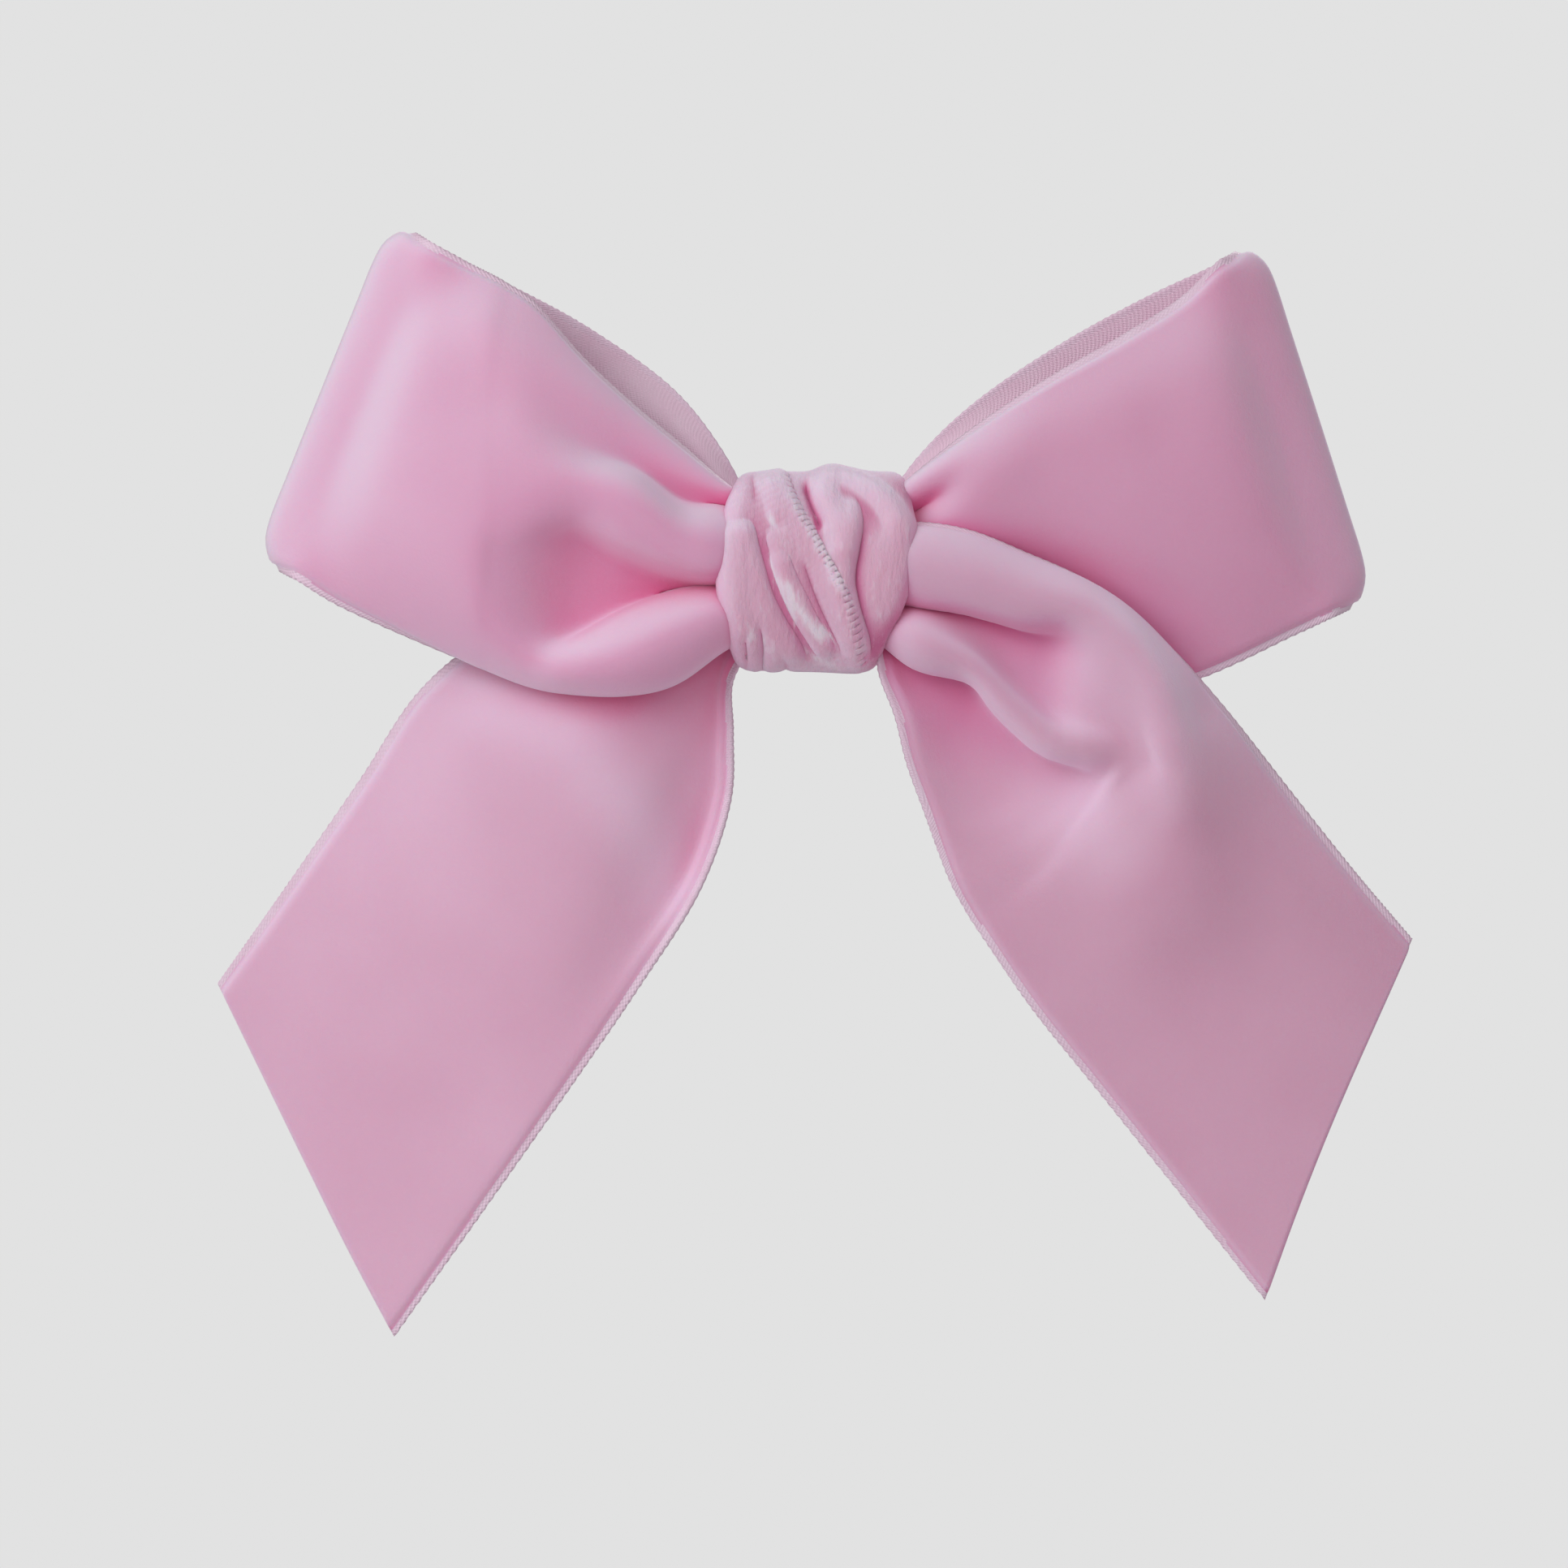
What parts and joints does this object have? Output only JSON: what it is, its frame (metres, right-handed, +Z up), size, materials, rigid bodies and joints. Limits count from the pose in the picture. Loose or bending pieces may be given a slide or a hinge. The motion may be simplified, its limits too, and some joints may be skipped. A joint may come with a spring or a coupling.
{
  "type": "barrette",
  "caption": "Velvet-ribbon bow with two loops and two slanted tails, bound to an automatic hair clip with a swinging arm and squeeze tabs.",
  "frame": {"origin": "middle of the hair gap, between the clip's leaf and its arm, behind the knot", "axes": "+X to the bow's right as seen from its front, +Y from the bow's face to the wearer's head, +Z up"},
  "size_m": [0.1319, 0.0299, 0.1217],
  "materials": {
    "velvet": "short velvet pile, pink, paler at a glancing angle",
    "lining": "ribbed grosgrain, pale pink",
    "thread": "twisted sewing thread, pale pink",
    "nickel_plated_steel": "nickel plated, satin",
    "spring_steel": "spring steel, fine brushed"
  },
  "bodies": {
    "root": {"loop_left_front": "velvet", "loop_left_back": "velvet", "loop_right_front": "velvet", "loop_right_back": "velvet", "tail_left": "velvet", "tail_right": "velvet", "knot_wrap": "velvet", "knot_core": "velvet", "lining_strip": "lining", "thread_binding": "thread", "clip_plate": "nickel_plated_steel", "hinge_pin": "spring_steel", "tension_leaf": "spring_steel", "leaf_rivets": "nickel_plated_steel", "catch_head": "nickel_plated_steel", "catch_pin": "spring_steel"},
    "arm": {"clasp_arm": "nickel_plated_steel"},
    "upper_tab": {"catch_tab_upper": "nickel_plated_steel"},
    "lower_tab": {"catch_tab_lower": "nickel_plated_steel"}
  },
  "joints": [
    {"name": "arm_hinge", "type": "hinge", "parent": "root", "child": "arm", "pos_m": [-0.0365, 0.00507, 0], "axis": [0, 0, 1], "range_deg": [0, 85]},
    {"name": "upper_tab_squeeze", "type": "slide", "parent": "root", "child": "upper_tab", "axis": [0, 0, -1], "range_m": [0, 0.0006], "stiffness_N_per_m": 600},
    {"name": "lower_tab_squeeze", "type": "slide", "parent": "root", "child": "lower_tab", "axis": [0, 0, 1], "range_m": [0, 0.0006], "stiffness_N_per_m": 600}
  ],
  "couplings": [
    {"joint": "lower_tab_squeeze", "follows": "upper_tab_squeeze", "ratio": 1}
  ]
}
